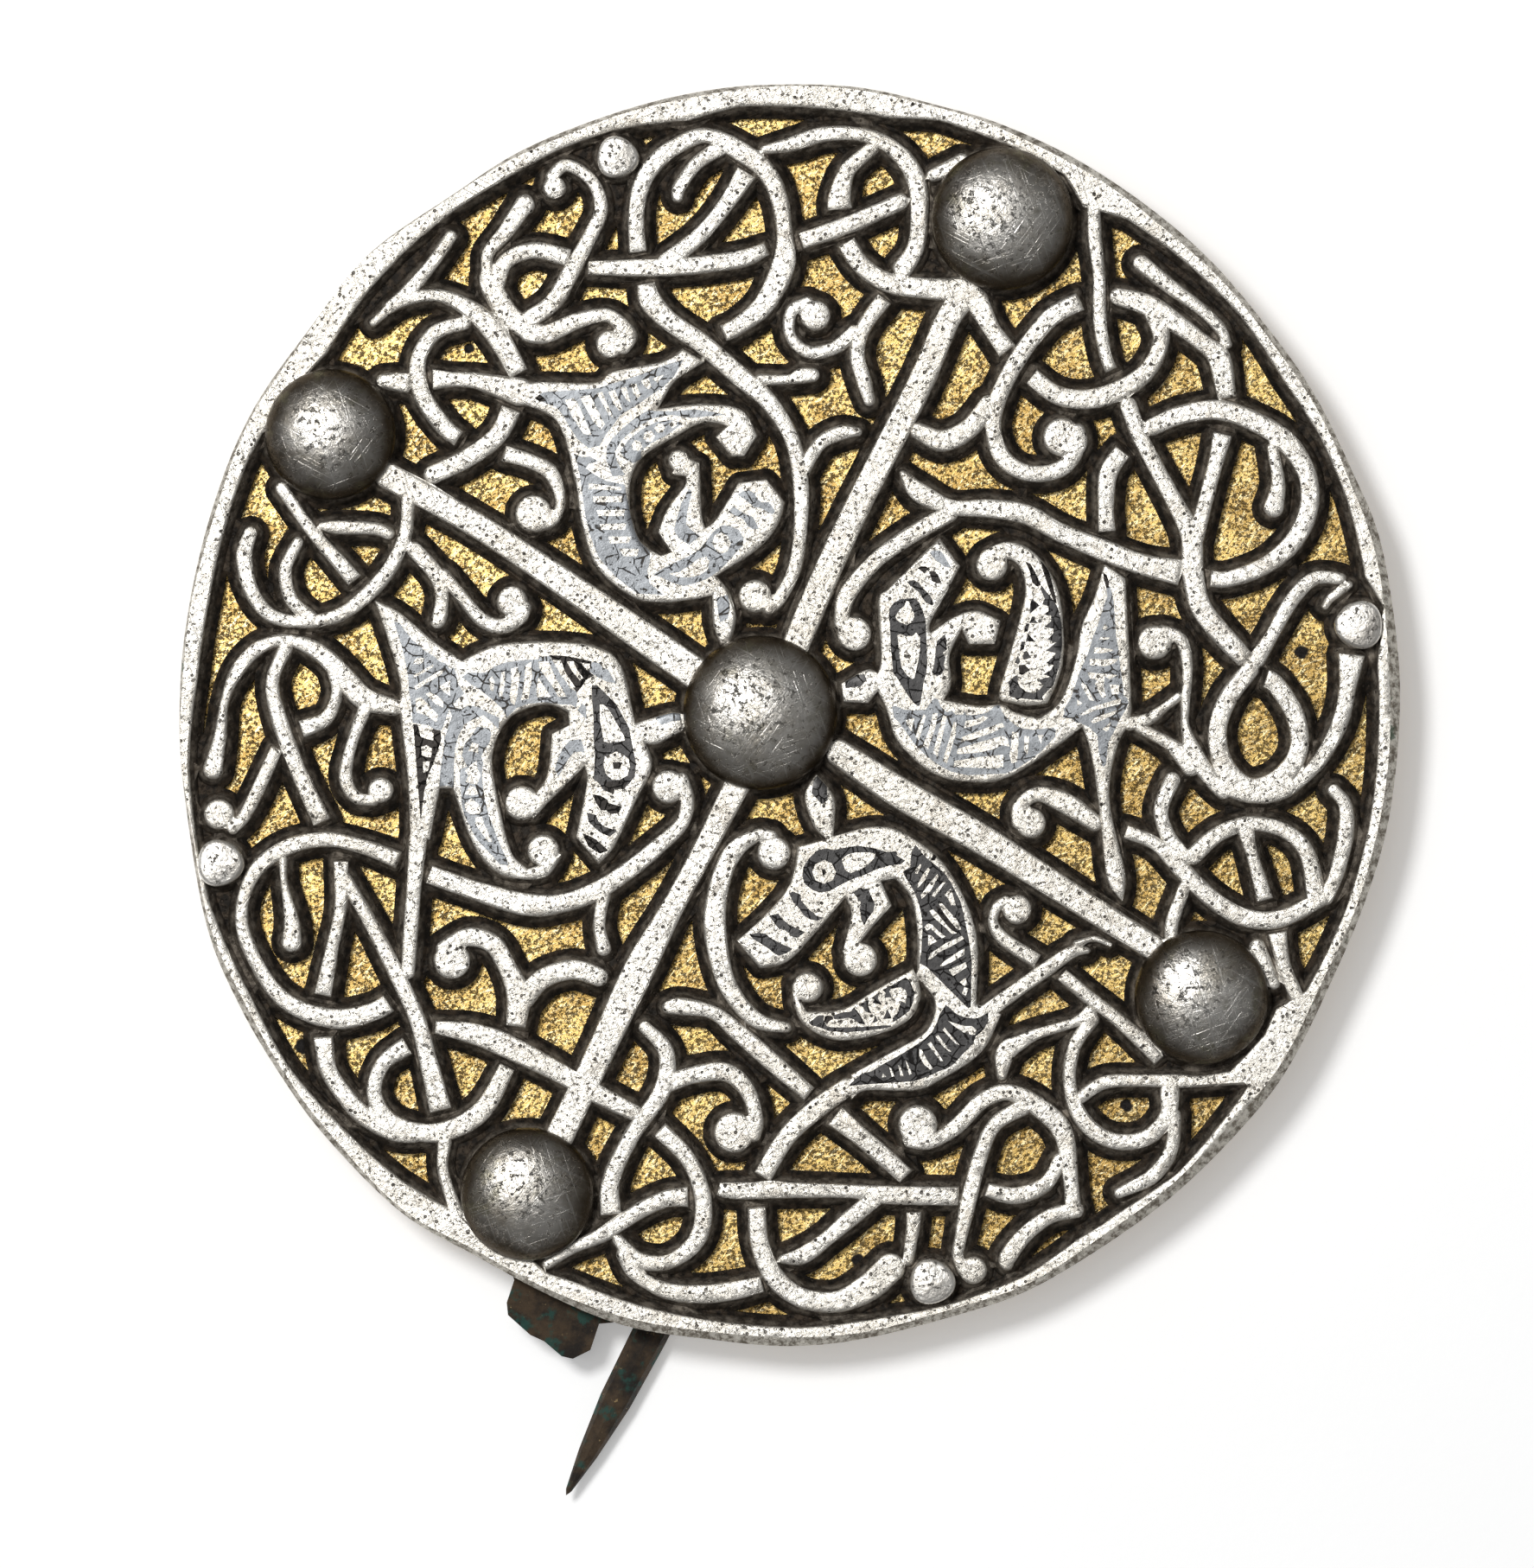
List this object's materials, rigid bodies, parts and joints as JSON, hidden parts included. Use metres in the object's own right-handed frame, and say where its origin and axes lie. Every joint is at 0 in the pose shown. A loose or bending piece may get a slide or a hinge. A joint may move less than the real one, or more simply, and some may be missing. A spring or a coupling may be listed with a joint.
{
  "type": "disc brooch",
  "caption": "Round openwork disc brooch in silver with carved interlace and beasts, domed boss rivets, a gilded base plate and a hinged pin on the back.",
  "frame": {"origin": "on the disc's axis, in the flat of the middle rivet's wide head on the back", "axes": "+Z out of the decorated face, +Y towards the top of the brooch as pictured, +X to its right"},
  "size_m": [0.0975, 0.113, 0.0107],
  "materials": {
    "carved_silver": "worn silver, dark in the carving",
    "gilded_plate": "scratched gilding",
    "tarnished_silver": "tarnished silver",
    "corroded_copper_alloy": "brown corroded copper alloy with green patches"
  },
  "bodies": {
    "brooch": {"openwork_plate": "carved_silver", "base_plate": "gilded_plate", "center_boss": "tarnished_silver", "boss_upper_left": "tarnished_silver", "boss_upper_right": "tarnished_silver", "boss_lower_right": "tarnished_silver", "boss_lower_left": "tarnished_silver", "rivet_top_left": "tarnished_silver", "rivet_right": "tarnished_silver", "rivet_left": "tarnished_silver", "rivet_bottom": "tarnished_silver", "hinge_lug": "corroded_copper_alloy", "hinge_axle": "corroded_copper_alloy", "catch": "corroded_copper_alloy"},
    "pin": {"pin": "corroded_copper_alloy"}
  },
  "joints": [
    {"name": "pin_hinge", "type": "hinge", "parent": "brooch", "child": "pin", "pos_m": [0.026, 0.0215, -0.0019], "axis": [0.8867, -0.4623, 0], "range_deg": [0, 70]}
  ]
}
